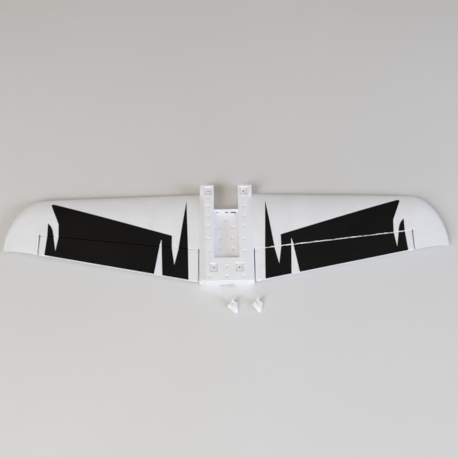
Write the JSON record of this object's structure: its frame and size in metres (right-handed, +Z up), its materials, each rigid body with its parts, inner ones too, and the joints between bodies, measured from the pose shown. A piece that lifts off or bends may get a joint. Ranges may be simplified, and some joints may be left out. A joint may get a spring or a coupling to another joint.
{
  "type": "rc flying wing airframe",
  "caption": "Bare foam wing for a small radio-controlled aeroplane: tapered panels on a raised pod saddle, hinged control surfaces, sunk bolt plates and loose control horns.",
  "frame": {"origin": "centre of the flat belly face the wing stands on, under the pod saddle", "axes": "+X along the span towards the right tip, +Y forward to the leading edge, +Z up"},
  "size_m": [0.8758, 0.2665, 0.03],
  "materials": {
    "white_foam": "matte",
    "hinge_skin": "matte",
    "black_film": "satin",
    "carbon_strip": "satin",
    "plate_plastic": "satin",
    "horn_plastic": "satin"
  },
  "bodies": {
    "wing": {"centre_section": "white_foam", "left_wing_panel": "white_foam", "right_wing_panel": "white_foam", "main_spar": "carbon_strip", "left_elevon_hinge": "hinge_skin", "right_elevon_hinge": "hinge_skin", "front_left_bolt_plate": "plate_plastic", "front_right_bolt_plate": "plate_plastic", "rear_left_bolt_plate": "plate_plastic", "rear_right_bolt_plate": "plate_plastic", "left_spike_decal": "black_film", "left_blade_decal": "black_film", "left_leaf_decal": "black_film", "right_spike_decal": "black_film", "right_blade_decal": "black_film", "right_leaf_decal": "black_film"},
    "left_elevon": {"left_elevon": "white_foam", "left_inner_elevon_decal": "black_film", "left_outer_elevon_decal": "black_film"},
    "right_elevon": {"right_elevon": "white_foam", "right_inner_elevon_decal": "black_film", "right_outer_elevon_decal": "black_film"},
    "left_horn": {"left_control_horn": "horn_plastic"},
    "right_horn": {"right_control_horn": "horn_plastic"}
  },
  "joints": [
    {"name": "left_elevon_hinge", "type": "hinge", "parent": "wing", "child": "left_elevon", "pos_m": [-0.2119, -0.0368, 0.02152], "axis": [-0.994, 0.1088, 0.0115], "range_deg": [-25, 25], "stiffness_Nm_per_rad": 0.12, "deforming": ["left_elevon_hinge"]},
    {"name": "right_elevon_hinge", "type": "hinge", "parent": "wing", "child": "right_elevon", "pos_m": [0.2119, -0.0368, 0.02152], "axis": [-0.994, -0.1088, -0.0115], "range_deg": [-25, 25], "stiffness_Nm_per_rad": 0.12, "deforming": ["right_elevon_hinge"]},
    {"name": "left_horn_lift", "type": "slide", "parent": "wing", "child": "left_horn", "axis": [0, 0, 1], "range_m": [0, 0.06]},
    {"name": "right_horn_lift", "type": "slide", "parent": "wing", "child": "right_horn", "axis": [0, 0, 1], "range_m": [0, 0.06]}
  ]
}
